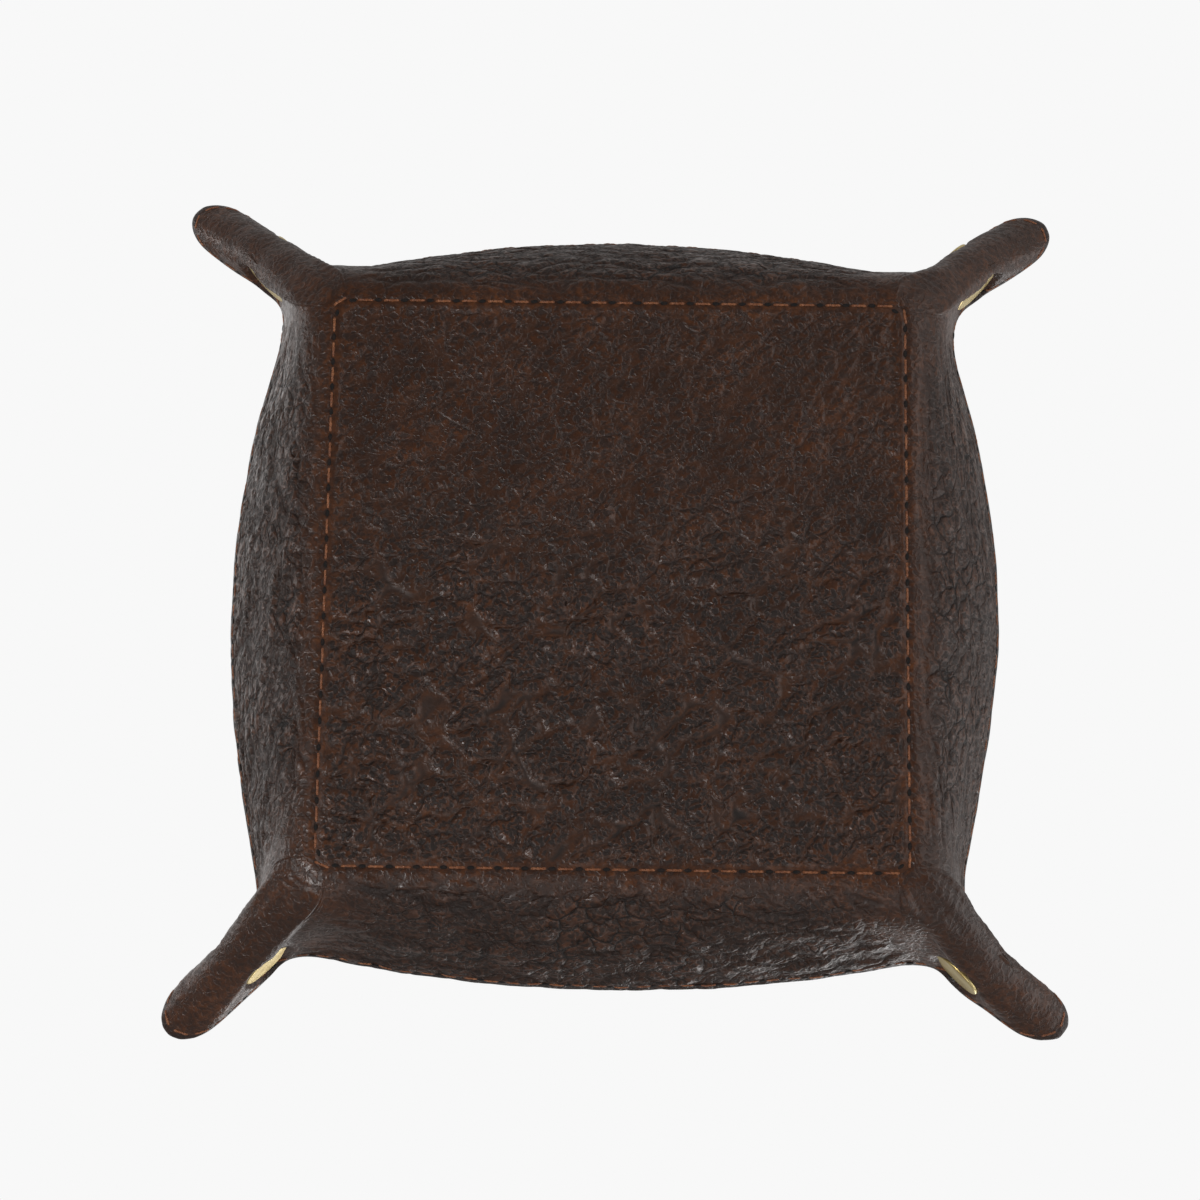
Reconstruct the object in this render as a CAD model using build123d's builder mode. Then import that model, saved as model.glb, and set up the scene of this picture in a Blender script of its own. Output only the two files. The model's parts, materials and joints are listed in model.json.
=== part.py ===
from build123d import *
import os
from math import atan2, cos, degrees, hypot, pi, sin, sqrt

os.makedirs("parts", exist_ok=True)

# A square of leather with a lining, folded up on four sides and snapped at its corners.
# The base lies on z = 0 with its outer face down, and the tray opens upward.

# The two sheets and the gap that the press studs hold between them at a corner
leather_thickness = 1.6
lining_thickness = 1.0
half_gap = 1.7

# The base: from its middle to the fold of each wall, and the stiff board inside it
base_half = 68.0
board_inset = 4.0
board_corner_radius = 5.0
board_thickness = 1.2
board_play = 0.2
pad_slope = 1.4

# The seam round the base
seam_inset = 2.5
seam_corner_radius = 5.0
stitch_pitch = 6.2
stitch_length = 4.4
thread_diameter = 0.65
thread_sides = 6
seam_groove_width = 0.95
seam_groove_depth = 0.75

# A wall's curved section in the middle of a side: how far out and up its rim lies, and its belly
middle_reach = 21.8
middle_height = 27.5
middle_belly = 3.4

# The same where the wall meets the ear, which is steeper, taller and nearly straight
corner_reach = 13.53
corner_height = 33.0
corner_belly = 0.9
wall_overrun = 3.0

# An ear: the folded corner, in the upright plane along the tray's diagonal, from where its
# ridge leaves the base
ear_tip_reach = 49.6
ear_tip_height = 31.5
ear_tip_radius = 7.0
ridge_radius = 3.2
apex_trim = 1.6

# The press stud of each ear: how far its middle lies from the crease and over the ridge
stud_from_crease = 7.65
stud_rise = 8.7
cap_diameter = 12.5
cap_thickness = 0.75
cap_edge_radius = 0.5
post_diameter = 3.0
post_hole_diameter = 3.6
socket_diameter = 11.0
socket_thickness = 2.3
socket_bore_diameter = 5.0
socket_floor = 0.4
socket_edge_radius = 0.5
stud_flange_diameter = 9.6
stud_flange_thickness = 0.8
stud_pin_diameter = 4.0
stud_pin_length = 1.7
stud_pin_edge_radius = 0.6

# Clearances between the pieces of leather on either side of a fold
fold_gap = 0.2
crease_gap = 0.25
cut_overrun = 10.0

# Sizes that follow
board_half = base_half - board_inset
seam_half = base_half - seam_inset
sheet_thickness = leather_thickness + lining_thickness
ear_half_width = half_gap + sheet_thickness
hinge_along = base_half * sqrt(2) - ear_half_width
corner_y = base_half - ear_half_width * sqrt(2)
ear_tip_along = hinge_along + ear_tip_reach
ridge_angle = atan2(ear_tip_height, ear_tip_reach)
ridge_length = hypot(ear_tip_height, ear_tip_reach)

corner_point = Vector(base_half, corner_y, 0)
rim_point = Vector(base_half + corner_reach, corner_y + corner_reach, corner_height)
rim_along = (rim_point.X + rim_point.Y) / sqrt(2)

diagonal = Vector(1, 1, 0).normalized()
across = Vector(1, -1, 0).normalized()
ridge = Vector(cos(ridge_angle) * diagonal.X, cos(ridge_angle) * diagonal.Y, sin(ridge_angle))
ridge_up = Vector(-sin(ridge_angle) * diagonal.X, -sin(ridge_angle) * diagonal.Y, cos(ridge_angle))
crease = (rim_point - corner_point).normalized()
off_crease = Vector(crease.Z * diagonal.X, crease.Z * diagonal.Y, -crease.dot(diagonal))
stud_run = (stud_from_crease - stud_rise * ridge_up.dot(off_crease)) / ridge.dot(off_crease)
stud_place = diagonal * hinge_along + ridge * stud_run + ridge_up * stud_rise

sides = ["right", "back", "left", "front"]
quarter_turn = 90


def keep(piece, name):
    """Labels a finished piece and writes its file."""
    piece.label = name
    export_step(piece, f"parts/{name}.step")


def turned(piece, quarters):
    """The piece of the right side or the back right corner, carried round to another one."""
    return piece.rotate(Axis.Z, quarter_turn * quarters)


# The base

def base_outline():
    """The square base, with a short edge at each corner where the ear's ridge folds up."""
    edge = base_half - fold_gap / 2
    corner = corner_y - fold_gap / 2
    with BuildLine() as outline:
        Polyline(
            (edge, -corner), (edge, corner), (corner, edge), (-corner, edge),
            (-edge, corner), (-edge, -corner), (-corner, -edge), (corner, -edge),
            close=True,
        )
    return outline.line


with BuildPart() as base_leather:
    with BuildSketch():
        with BuildLine():
            add(base_outline())
        make_face()
    extrude(amount=leather_thickness)
    with BuildSketch():
        RectangleRounded(
            2 * seam_half + seam_groove_width,
            2 * seam_half + seam_groove_width,
            seam_corner_radius + seam_groove_width / 2,
        )
        RectangleRounded(
            2 * seam_half - seam_groove_width,
            2 * seam_half - seam_groove_width,
            seam_corner_radius - seam_groove_width / 2,
            mode=Mode.SUBTRACT,
        )
    extrude(amount=seam_groove_depth, mode=Mode.SUBTRACT)
keep(base_leather.part, "base_leather")

with BuildPart() as base_board:
    with BuildSketch(Plane.XY.offset(leather_thickness)):
        RectangleRounded(2 * board_half, 2 * board_half, board_corner_radius)
    extrude(amount=board_thickness)
keep(base_board.part, "base_board")

with BuildPart() as base_lining:
    with BuildSketch(Plane.XY.offset(leather_thickness)):
        with BuildLine():
            add(base_outline())
        make_face()
    extrude(amount=lining_thickness)
    pad_half = board_half + pad_slope
    with BuildSketch(Plane.XY.offset(sheet_thickness)):
        RectangleRounded(2 * pad_half, 2 * pad_half, board_corner_radius + pad_slope)
    with BuildSketch(Plane.XY.offset(sheet_thickness + board_thickness + board_play)):
        RectangleRounded(2 * board_half, 2 * board_half, board_corner_radius)
    loft(ruled=True)
    with BuildSketch(Plane.XY.offset(leather_thickness)):
        hollow_half = board_half + board_play
        RectangleRounded(2 * hollow_half, 2 * hollow_half, board_corner_radius + board_play)
    extrude(amount=board_thickness + board_play, mode=Mode.SUBTRACT)
keep(base_lining.part, "base_lining")

# The stitches lie in the groove: rows along the four sides that stop short of the round corners.
# Each is a six-sided bar as thick as the thread.
seam_straight = 2 * (seam_half - seam_corner_radius)
stitch_count = round(seam_straight / stitch_pitch)
stitch_step = seam_straight / stitch_count
stitch_middle = Vector(seam_half, 0, seam_groove_depth / 2)

with BuildPart() as base_stitching:
    with BuildSketch(Plane(origin=stitch_middle, z_dir=(0, 1, 0))):
        RegularPolygon(thread_diameter / 2, thread_sides)
    first_stitch = extrude(amount=stitch_length / 2, both=True, mode=Mode.PRIVATE)
    for quarter in range(len(sides)):
        with Locations(Plane.XY.rotated((0, 0, quarter_turn * quarter))):
            with GridLocations(0, stitch_step, 1, stitch_count):
                add(first_stitch)
keep(base_stitching.part, "base_stitching")


# The walls

def wall_section(reach, height, belly, near, far):
    """A wall's section from the fold to the rim, between two depths under its outer face."""
    chord = hypot(reach, height)
    radius = chord**2 / (8 * belly) + belly / 2
    middle = Vector(base_half + reach / 2, height / 2)
    outward = Vector(height / chord, -reach / chord)
    centre = middle - outward * (radius - belly)
    rim = Vector(base_half + reach, height)
    fold = base_half + fold_gap / 2

    def arc_ends(depth):
        at_fold = Vector(fold, centre.Y - sqrt((radius - depth) ** 2 - (fold - centre.X) ** 2))
        at_rim = centre + (rim - centre) * ((radius - depth) / radius)
        return at_fold, centre + outward * (radius - depth), at_rim

    outer = arc_ends(near)
    inner = arc_ends(far)
    with BuildLine() as section:
        ThreePointArc(outer[0], outer[1], outer[2])
        Line(outer[2], inner[2])
        ThreePointArc(inner[2], inner[1], inner[0])
        Line(inner[0], outer[0])
    return section.line


def crease_cut(side):
    """The plane at which a wall ends at an ear: it holds the crease and stands on the wall."""
    slant = Vector(-corner_height, 0, corner_reach).normalized()
    normal = slant.cross(crease).normalized()
    origin = corner_point - normal * crease_gap
    mirrored_origin = Vector(origin.X, side * origin.Y, origin.Z)
    mirrored_normal = Vector(normal.X, side * normal.Y, normal.Z)
    return Plane(origin=mirrored_origin, z_dir=mirrored_normal)


def wall_layer(near, far):
    """One sheet of the right wall, from its belly in the middle to its steep ends."""
    end = rim_point.Y + wall_overrun
    growth = (end / rim_point.Y) ** 2
    end_reach = middle_reach + (corner_reach - middle_reach) * growth
    end_height = middle_height + (corner_height - middle_height) * growth
    end_belly = middle_belly + (corner_belly - middle_belly) * growth
    with BuildPart() as layer:
        for place, reach, height, belly in (
            (-end, end_reach, end_height, end_belly),
            (0, middle_reach, middle_height, middle_belly),
            (end, end_reach, end_height, end_belly),
        ):
            with BuildSketch(Plane.XZ.offset(-place)):
                with BuildLine():
                    add(wall_section(reach, height, belly, near, far))
                make_face()
        loft()
        split(bisect_by=crease_cut(1), keep=Keep.BOTTOM)
        split(bisect_by=crease_cut(-1), keep=Keep.BOTTOM)
    return layer.part


right_wall = {
    "leather": wall_layer(0, leather_thickness),
    "lining": wall_layer(leather_thickness, sheet_thickness),
}
for quarter, side in enumerate(sides):
    for sheet, shape in right_wall.items():
        with BuildPart() as wall_sheet:
            add(turned(shape, quarter))
        keep(wall_sheet.part, f"{side}_wall_{sheet}")


# The ears

ear_plane = Plane(origin=(0, 0, 0), x_dir=diagonal, z_dir=across)
ridge_start = diagonal * hinge_along
section_plane = Plane(origin=ridge_start, x_dir=-across, z_dir=ridge)


def ear_outline():
    """An ear seen from its side: ridge, round tip, rim and crease, open below the ridge."""
    tip = Vector(ear_tip_along, ear_tip_height)
    run = Vector(cos(ridge_angle), sin(ridge_angle))
    down = Vector(sin(ridge_angle), -cos(ridge_angle))
    round_centre = tip - run * ear_tip_radius
    rim_start = Vector(rim_along, corner_height)
    to_centre = round_centre - rim_start
    spread = sqrt(to_centre.length**2 - ear_tip_radius**2)
    rise = atan2(to_centre.Y, to_centre.X) + atan2(ear_tip_radius, spread)
    rim_end = rim_start + Vector(cos(rise), sin(rise)) * spread
    half_turn = (rise + pi / 2 + ridge_angle) / 2
    arc_middle = round_centre + Vector(cos(half_turn), sin(half_turn)) * ear_tip_radius
    hinge = Vector(hinge_along, 0)
    with BuildLine() as outline:
        Line(rim_start, rim_end)
        ThreePointArc(rim_end, arc_middle, tip)
        Line(tip, tip + down * cut_overrun)
        Line(tip + down * cut_overrun, hinge + down * cut_overrun)
        Line(hinge + down * cut_overrun, hinge)
        Line(hinge, rim_start)
    return outline.line


def ear_layer(near, far):
    """One sheet of an ear: a channel along the ridge, trimmed to the ear's outline."""
    tall = ear_tip_height + cut_overrun
    with BuildPart() as layer:
        with BuildSketch(section_plane):
            for depth, mode in ((near, Mode.ADD), (far, Mode.SUBTRACT)):
                with BuildSketch(mode=mode):
                    width = 2 * (ear_half_width - depth)
                    with Locations((0, depth + tall / 2)):
                        Rectangle(width, tall)
                    low_corners = vertices().group_by(Axis.Y)[0]
                    fillet(low_corners, ridge_radius - depth)
        extrude(amount=ridge_length + cut_overrun, both=True)
        with BuildSketch(ear_plane):
            with BuildLine():
                add(ear_outline())
            make_face()
        extrude(amount=ear_half_width + cut_overrun, both=True, mode=Mode.INTERSECT)
    return layer.part


def mitre(side, clearance):
    """The slanting plane between the ridge and one flap, shifted away from the other piece."""
    normal = (ridge_up + across * side).normalized()
    corner = ridge_start + across * (side * ear_half_width)
    return Plane(origin=corner + normal * clearance, z_dir=normal)


def ridge_piece(near, far):
    """The strip at the bottom of the fold, between the two mitres."""
    with BuildPart() as strip:
        add(ear_layer(near, far))
        split(bisect_by=mitre(1, -fold_gap / 2), keep=Keep.BOTTOM)
        split(bisect_by=mitre(-1, -fold_gap / 2), keep=Keep.BOTTOM)
        hinge_face = Plane(origin=diagonal * (hinge_along + fold_gap / 2), z_dir=diagonal)
        split(bisect_by=hinge_face, keep=Keep.TOP)
    return strip.part


def flap_piece(side, near, far):
    """One half of the ear, from the mitre up to the rim, with the hole for its press stud."""
    crease_normal = across.cross(crease)
    if crease_normal.dot(diagonal) < 0:
        crease_normal = -crease_normal
    with BuildPart() as flap:
        add(ear_layer(near, far))
        split(bisect_by=mitre(side, fold_gap / 2), keep=Keep.TOP)
        split(bisect_by=Plane(origin=(0, 0, 0), z_dir=across * side), keep=Keep.TOP)
        crease_face = Plane(origin=corner_point + crease_normal * crease_gap, z_dir=crease_normal)
        split(bisect_by=crease_face, keep=Keep.TOP)
        apex = Plane(origin=diagonal * (hinge_along + apex_trim), z_dir=diagonal)
        split(bisect_by=apex, keep=Keep.TOP)
        with Locations(Plane(origin=stud_place, z_dir=across)):
            Cylinder(post_hole_diameter / 2, 2 * ear_tip_along, mode=Mode.SUBTRACT)
    return flap.part


sheets = {"leather": (0, leather_thickness), "lining": (leather_thickness, sheet_thickness)}
ridge_shapes = {sheet: ridge_piece(*depths) for sheet, depths in sheets.items()}
flap_shapes = {
    (side, sheet): flap_piece(side, *depths)
    for side in (1, -1)
    for sheet, depths in sheets.items()
}


# The press studs: each turned profile lies in (radius, distance from the ear's middle plane)

def turned_profile(points, rounded, radius, side):
    """A stud piece, turned about the line through both flaps and facing to one side."""
    with BuildPart() as piece:
        with BuildSketch(Plane(origin=stud_place, x_dir=(0, 0, 1), z_dir=diagonal * side)):
            with BuildLine():
                Polyline(*points, close=True)
            make_face()
            fillet(vertices().sort_by_distance(rounded)[0], radius)
        revolve(axis=Axis(stud_place, across))
    return piece.part


cap_face = ear_half_width + cap_thickness
cap_edge = (cap_diameter / 2, cap_face)
cap_points = [
    (0, half_gap),
    (post_diameter / 2, half_gap),
    (post_diameter / 2, ear_half_width),
    (cap_diameter / 2, ear_half_width),
    cap_edge,
    (0, cap_face),
]
socket_face = half_gap - socket_thickness
socket_edge = (socket_diameter / 2, socket_face)
socket_points = [
    (0, half_gap),
    (socket_diameter / 2, half_gap),
    socket_edge,
    (socket_bore_diameter / 2, socket_face),
    (socket_bore_diameter / 2, half_gap - socket_floor),
    (0, half_gap - socket_floor),
]
flange_face = half_gap - stud_flange_thickness
pin_edge = (stud_pin_diameter / 2, flange_face - stud_pin_length)
pin_points = [
    (0, half_gap),
    (stud_flange_diameter / 2, half_gap),
    (stud_flange_diameter / 2, flange_face),
    (stud_pin_diameter / 2, flange_face),
    pin_edge,
    (0, flange_face - stud_pin_length),
]
stud_shapes = {
    "cap": turned_profile(cap_points, cap_edge, cap_edge_radius, 1),
    "socket": turned_profile(socket_points, socket_edge, socket_edge_radius, 1),
    "back_cap": turned_profile(cap_points, cap_edge, cap_edge_radius, -1),
    "stud": turned_profile(pin_points, pin_edge, stud_pin_edge_radius, -1),
}

for quarter, side in enumerate(sides):
    next_side = sides[(quarter + 1) % len(sides)]
    # corners are named front or back first
    corner = f"{side}_{next_side}" if side in ("back", "front") else f"{next_side}_{side}"
    for sheet in sheets:
        with BuildPart() as ridge_sheet:
            add(turned(ridge_shapes[sheet], quarter))
        keep(ridge_sheet.part, f"{corner}_ridge_{sheet}")
        for flap_side, beside in ((1, side), (-1, next_side)):
            with BuildPart() as flap_sheet:
                add(turned(flap_shapes[flap_side, sheet], quarter))
            keep(flap_sheet.part, f"{corner}_flap_by_{beside}_{sheet}")
    for piece_name, shape in stud_shapes.items():
        with BuildPart() as stud_part:
            add(turned(shape, quarter))
        keep(stud_part.part, f"{corner}_{piece_name}")

print("ridge angle", round(degrees(ridge_angle), 2), "length", round(ridge_length, 2))
print("stitches in a row", stitch_count)
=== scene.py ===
# %% [markdown]
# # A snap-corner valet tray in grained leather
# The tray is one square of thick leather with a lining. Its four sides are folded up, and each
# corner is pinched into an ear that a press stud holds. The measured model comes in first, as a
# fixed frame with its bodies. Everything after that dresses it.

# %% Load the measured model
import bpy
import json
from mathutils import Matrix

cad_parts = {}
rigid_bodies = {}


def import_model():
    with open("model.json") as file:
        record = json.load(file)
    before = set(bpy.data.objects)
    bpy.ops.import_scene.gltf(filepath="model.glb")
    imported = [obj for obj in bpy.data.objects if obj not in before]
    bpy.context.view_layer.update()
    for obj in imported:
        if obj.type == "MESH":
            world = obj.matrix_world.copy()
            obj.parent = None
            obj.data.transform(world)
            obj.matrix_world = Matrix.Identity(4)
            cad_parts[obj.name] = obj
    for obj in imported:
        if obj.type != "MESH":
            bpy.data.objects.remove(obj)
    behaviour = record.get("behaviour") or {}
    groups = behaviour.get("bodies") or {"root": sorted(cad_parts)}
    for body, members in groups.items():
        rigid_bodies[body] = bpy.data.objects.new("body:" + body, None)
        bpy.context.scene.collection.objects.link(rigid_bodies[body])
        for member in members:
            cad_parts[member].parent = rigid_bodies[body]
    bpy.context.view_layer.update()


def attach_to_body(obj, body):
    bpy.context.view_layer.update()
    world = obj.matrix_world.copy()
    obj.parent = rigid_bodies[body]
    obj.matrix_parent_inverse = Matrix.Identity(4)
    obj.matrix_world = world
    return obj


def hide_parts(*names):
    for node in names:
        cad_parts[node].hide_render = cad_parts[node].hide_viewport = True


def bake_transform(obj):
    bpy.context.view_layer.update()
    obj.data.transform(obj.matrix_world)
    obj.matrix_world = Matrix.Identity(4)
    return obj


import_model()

# %% The tools of this lesson
import json
import math

import bmesh
import bpy
import numpy as np
from mathutils import Matrix, Vector, noise

MM = 0.001
SIDES = ["right", "back", "left", "front"]
QUARTER = math.pi / 2


def corner_name(quarter):
    """The corner between side number quarter and the next one, front or back said first."""
    first, second = SIDES[quarter], SIDES[(quarter + 1) % 4]
    return f"{first}_{second}" if first in ("back", "front") else f"{second}_{first}"


def only(obj):
    """Selects one object alone and makes it active, as a click on it would."""
    bpy.ops.object.select_all(action="DESELECT")
    obj.select_set(True)
    bpy.context.view_layer.objects.active = obj


print("corners:", [corner_name(quarter) for quarter in range(4)])

# %% [markdown]
# ## The folded sheet
# On the bench, the sheet is wet, folded over a square former and pinched. Here a coarse net of
# points says where the sheet goes: rows from the seam up to the rim, and columns all the way
# round. A smooth surface through such a net could come from a Subdivision Surface modifier. The
# same smoothing is done below by hand, since then each fine point is known by its row and
# column, and neighbouring panels share their edges exactly.

# %% Sizes of the sheet, in millimetres
BASE_HALF = 68.0
SEAM_HALF = 65.5
SEAM_ROUND = 2.5
LEATHER = 1.6
LINING = 1.0
EAR_HALF_WIDTH = 4.3
HINGE_ALONG = BASE_HALF * math.sqrt(2) - EAR_HALF_WIDTH
TIP = (HINGE_ALONG + 49.6, 31.5)
RIDGE_ANGLE = math.atan2(TIP[1], TIP[0] - HINGE_ALONG)
SEAM_CORNER = (SEAM_HALF - SEAM_ROUND) * math.sqrt(2) + SEAM_ROUND
CAP_CENTRE = (115.32, 25.2)
CAP_RADIUS = 6.25
CREASE_RIM = (82.6, 74.4, 33.0)
MIDDLE_RIM_HEIGHT = 27.5
print("ridge rises at", round(math.degrees(RIDGE_ANGLE), 1), "degrees")

# %% [markdown]
# No two sides of a hand-folded tray are quite alike. The front and back rims bow out evenly, and
# the side rims lean in towards the back. Each ear leans a little to one side of its diagonal.

# %% What differs from side to side and from ear to ear
EVEN_RIM = [(-74.4, 82.6), (-70, 81.9), (-50, 86.0), (-25, 88.9), (0, 89.8),
            (25, 88.9), (50, 86.0), (70, 81.9), (74.4, 82.6)]
RIGHT_RIM = [(-74.4, 82.4), (-68, 81.8), (-50, 85.4), (-28, 88.9), (-8, 90.3),
             (15, 90.0), (42, 86.8), (57, 83.4), (66, 81.2), (74.4, 81.6)]
LEFT_RIM = [(-74.4, 81.4), (-66, 79.8), (-57, 82.0), (-42, 85.6), (-15, 89.3),
            (8, 89.8), (28, 87.4), (50, 83.6), (64, 80.8), (74.4, 82.0)]
RIMS = {"right": RIGHT_RIM, "back": EVEN_RIM, "left": LEFT_RIM, "front": EVEN_RIM}
LEANS = {"back_right": 2.6, "back_left": -3.0, "front_left": 3.6, "front_right": -0.8}
REACHES = {"back_right": 2.2, "back_left": 0.6, "front_left": 0.8, "front_right": 1.4}
BULGES = {"back_right": 6.5, "back_left": 5.7, "front_left": 5.7, "front_right": 6.3}


def curve_at(points, t):
    """A point of the cubic curve over four control points."""
    p0, p1, p2, p3 = (np.array(p, float) for p in points)
    return (1 - t) ** 3 * p0 + 3 * t * (1 - t) ** 2 * p1 + 3 * t * t * (1 - t) * p2 + t ** 3 * p3


def smooth_step(low, high, value):
    """0 below low, 1 above high, and a soft rise between."""
    t = np.clip((value - low) / (high - low), 0, 1)
    return t * t * (3 - 2 * t)


# The wall in the middle of a side: its slope at the rim in degrees, how far the flat shoulder
# pulls the curve out, and how far the straight end pulls it down.
RIM_SLOPE, SHOULDER, STRAIGHT_END = 70, 11, 12


def wall_section(rim_x, rim_z, bend, t):
    """A point of a wall's section, from the seam to the rim, with bend from 0 to 1 at its ends."""
    slope = math.radians(RIM_SLOPE + 6 * bend)
    end = STRAIGHT_END + 5 * bend
    return curve_at([
        (SEAM_HALF, 0),
        (SEAM_HALF + SHOULDER + 2.5 * bend, 0),
        (rim_x - end * math.cos(slope), rim_z - end * math.sin(slope)),
        (rim_x, rim_z),
    ], t)


# How far from the middle of a side the crease lies, at heights in millimetres.
CREASE_HEIGHTS = [0, 4, 11, 20, CREASE_RIM[2]]
CREASE_PLACES = [SEAM_HALF - SEAM_ROUND, 63.4, 66.5, 70.4, CREASE_RIM[1]]


def wall_point(side, u, t):
    """A point of a wall as if it were the right one: u from -1 to 1, t from seam to rim."""
    bend = abs(u) ** 3
    along_rim = u * CREASE_RIM[1]
    rim_x = np.interp(along_rim, *zip(*RIMS[side]))
    rim_z = MIDDLE_RIM_HEIGHT + (CREASE_RIM[2] - MIDDLE_RIM_HEIGHT) * u * u
    x, z = wall_section(rim_x, rim_z, bend, t)
    crease_z = wall_section(CREASE_RIM[0], CREASE_RIM[2], 1.0, t)[1]
    half_length = np.interp(crease_z, CREASE_HEIGHTS, CREASE_PLACES)
    return np.array([x, u * half_length, z])


print("middle of the right rim:", wall_point("right", 0.0, 1.0).round(1))


# %% [markdown]
# Seen from its end, an ear is a loop of leather: round over the ridge line, pinched together
# above it, and open again towards the two creases.

# %% One half of an ear
RIDGE_STATIONS = [0, 6, 12, 18, 28, 36, 44, 52]
PINCH_ROWS, PINCH_WIDTHS = [0, 0.3, 0.5, 0.65, 0.85, 1], [7.5, 7.5, 5.5, 3.7, 4.0, 6.6]
LEAN_STATIONS = [0, 6, 12, 20, 29, 38, 50]
LEAN_SHARES = [0, 0.12, 0.35, 0.3, 0.3, 0.62, 1.15]
LOW_ROWS = 0.45


def ear_point(corner, sign, crease, v, t):
    """A point of an ear half: v 0 at the crease to 1 on the ridge line, t from seam to rim.

    sign is 1 beside the wall before the corner, and -1 beside the wall after it."""
    along, aside = (crease[0] + crease[1]) / math.sqrt(2), (crease[0] - crease[1]) / math.sqrt(2)
    run = np.array([math.cos(RIDGE_ANGLE), math.sin(RIDGE_ANGLE)])
    up = np.array([-run[1], run[0]])
    tip = np.array(TIP) + run * REACHES[corner]
    ridge = curve_at([(SEAM_CORNER, 0), (SEAM_CORNER + 8, 0), tip - run * 30, tip], t)
    k = np.array([along, crease[2]])
    depth = max(0.8, (k - ridge) @ up)
    station = ridge[0] - SEAM_CORNER
    half_widths = [7.5, 7.6, 6.4, BULGES[corner], BULGES[corner], 5.7, 6.3, 6.6]
    bulge = np.interp(station, RIDGE_STATIONS, half_widths)
    if t < LOW_ROWS:
        # low down there is only so much room beside the crease
        room = abs(aside) - max(0.0, sign * LEANS[corner]) * 0.35
        bulge = min(bulge, room)
    share = min(0.6, 0.75 * bulge / depth)
    if v >= 0.5:
        turn = (1 - v) / 0.5 * QUARTER
        far, width = share * (1 - math.cos(turn)), bulge * math.sin(turn)
    else:
        f = (0.5 - v) / 0.5
        pinch = np.interp(t, PINCH_ROWS, PINCH_WIDTHS)
        pinch = min(pinch, room) if t < LOW_ROWS else pinch
        far = share + (1 - share) * f
        width = bulge * (1 - f) ** 2 + 2 * pinch * f * (1 - f) + aside * f * f
    spot = ridge + (k - ridge) * far
    reach = spot[0] - SEAM_CORNER
    lean = LEANS[corner] * np.interp(reach, LEAN_STATIONS, LEAN_SHARES)
    lean = lean * max(smooth_step(0.1, 0.6, v), smooth_step(27, 34, reach))
    aside = sign * width + lean
    return np.array([(spot[0] + aside) / math.sqrt(2), (spot[0] - aside) / math.sqrt(2), spot[1]])


def seam_corner_point(sign, v):
    """A point of the seam's round corner: v 0 where it starts, to 1 on the diagonal."""
    turn = QUARTER / 2 - sign * (1 - v) * QUARTER / 2
    centre = SEAM_HALF - SEAM_ROUND
    return np.array([
        centre + SEAM_ROUND * math.cos(turn), centre + SEAM_ROUND * math.sin(turn), 0.0
    ])


# %% [markdown]
# The net has more columns where the skin bends more. It is made a quarter at a time, a wall and
# the ear after it, and each quarter is turned to its place.

# %% The net round the whole tray
WALL_COLUMNS = [-1 + step / 12 for step in range(24)]
EAR_COLUMNS = [0, 0.1, 0.2, 0.3, 0.4, 0.5, 0.6, 0.7, 0.8, 0.9, 1.0]
ROWS = [0, 0.05, 0.12, 0.2, 0.3, 0.4, 0.5, 0.6, 0.7, 0.79, 0.87, 0.94, 1.0]


def turned(points, quarter):
    """The points carried round the tray by a number of quarter turns."""
    c, s = [(1, 0), (0, 1), (-1, 0), (0, -1)][quarter % 4]
    x, y = points[..., 0].copy(), points[..., 1].copy()
    out = points.copy()
    out[..., 0], out[..., 1] = c * x - s * y, s * x + c * y
    return out


def quarter_net(quarter):
    """Columns of one quarter: a wall, then the ear after it."""
    side, after, corner = SIDES[quarter], SIDES[(quarter + 1) % 4], corner_name(quarter)
    columns = [[wall_point(side, u, t) for t in ROWS] for u in WALL_COLUMNS]
    first_crease = [wall_point(side, 1.0, t) for t in ROWS]
    next_crease = [wall_point(after, -1.0, t) * [1, -1, 1] for t in ROWS]
    halves = ((1, first_crease, EAR_COLUMNS), (-1, next_crease, EAR_COLUMNS[-2:0:-1]))
    for sign, creases, shares in halves:
        for v in shares:
            rows = [ear_point(corner, sign, crease, v, t) for crease, t in zip(creases, ROWS)]
            columns.append([seam_corner_point(sign, v), *rows[1:]])
    return np.array(columns)


net = np.concatenate([turned(quarter_net(quarter), quarter) for quarter in range(4)])
PER_QUARTER = len(net) // 4
print("net:", net.shape, "columns in a quarter:", PER_QUARTER)


# %% [markdown]
# Each fine point is a weighted mean of the net points around it, four along a row and four
# along a column. That is what a smooth surface modifier works out too.

# %% Smooth the net
def smoothing(count, steps, closed):
    """Weights that turn a row of net points into fine points, each from its four neighbours."""
    spans = count if closed else count - 1
    fine = spans * steps + (0 if closed else 1)
    weights = np.zeros((fine, count))
    for index in range(fine):
        span, f = divmod(index, steps)
        f /= steps
        if not closed and span == spans:
            span, f = spans - 1, 1.0
        basis = [
            (1 - f) ** 3 / 6,
            (3 * f ** 3 - 6 * f ** 2 + 4) / 6,
            (-3 * f ** 3 + 3 * f ** 2 + 3 * f + 1) / 6,
            f ** 3 / 6,
        ]
        for offset, weight in zip((-1, 0, 1, 2), basis):
            at = (span + offset) % count if closed else span + offset
            end = min(max(at, 0), count - 1)
            # past an open end the net goes straight on
            weights[index, end] += weight if at == end else 2 * weight
            if at != end:
                weights[index, 2 * end - at] -= weight
    return weights


COLUMN_STEPS = ROW_STEPS = 7
around = smoothing(len(net), COLUMN_STEPS, True)
upward = smoothing(len(ROWS), ROW_STEPS, False)
skin = np.einsum("ac,crk,br->abk", around, net, upward)
print("fine points:", skin.shape)


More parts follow.
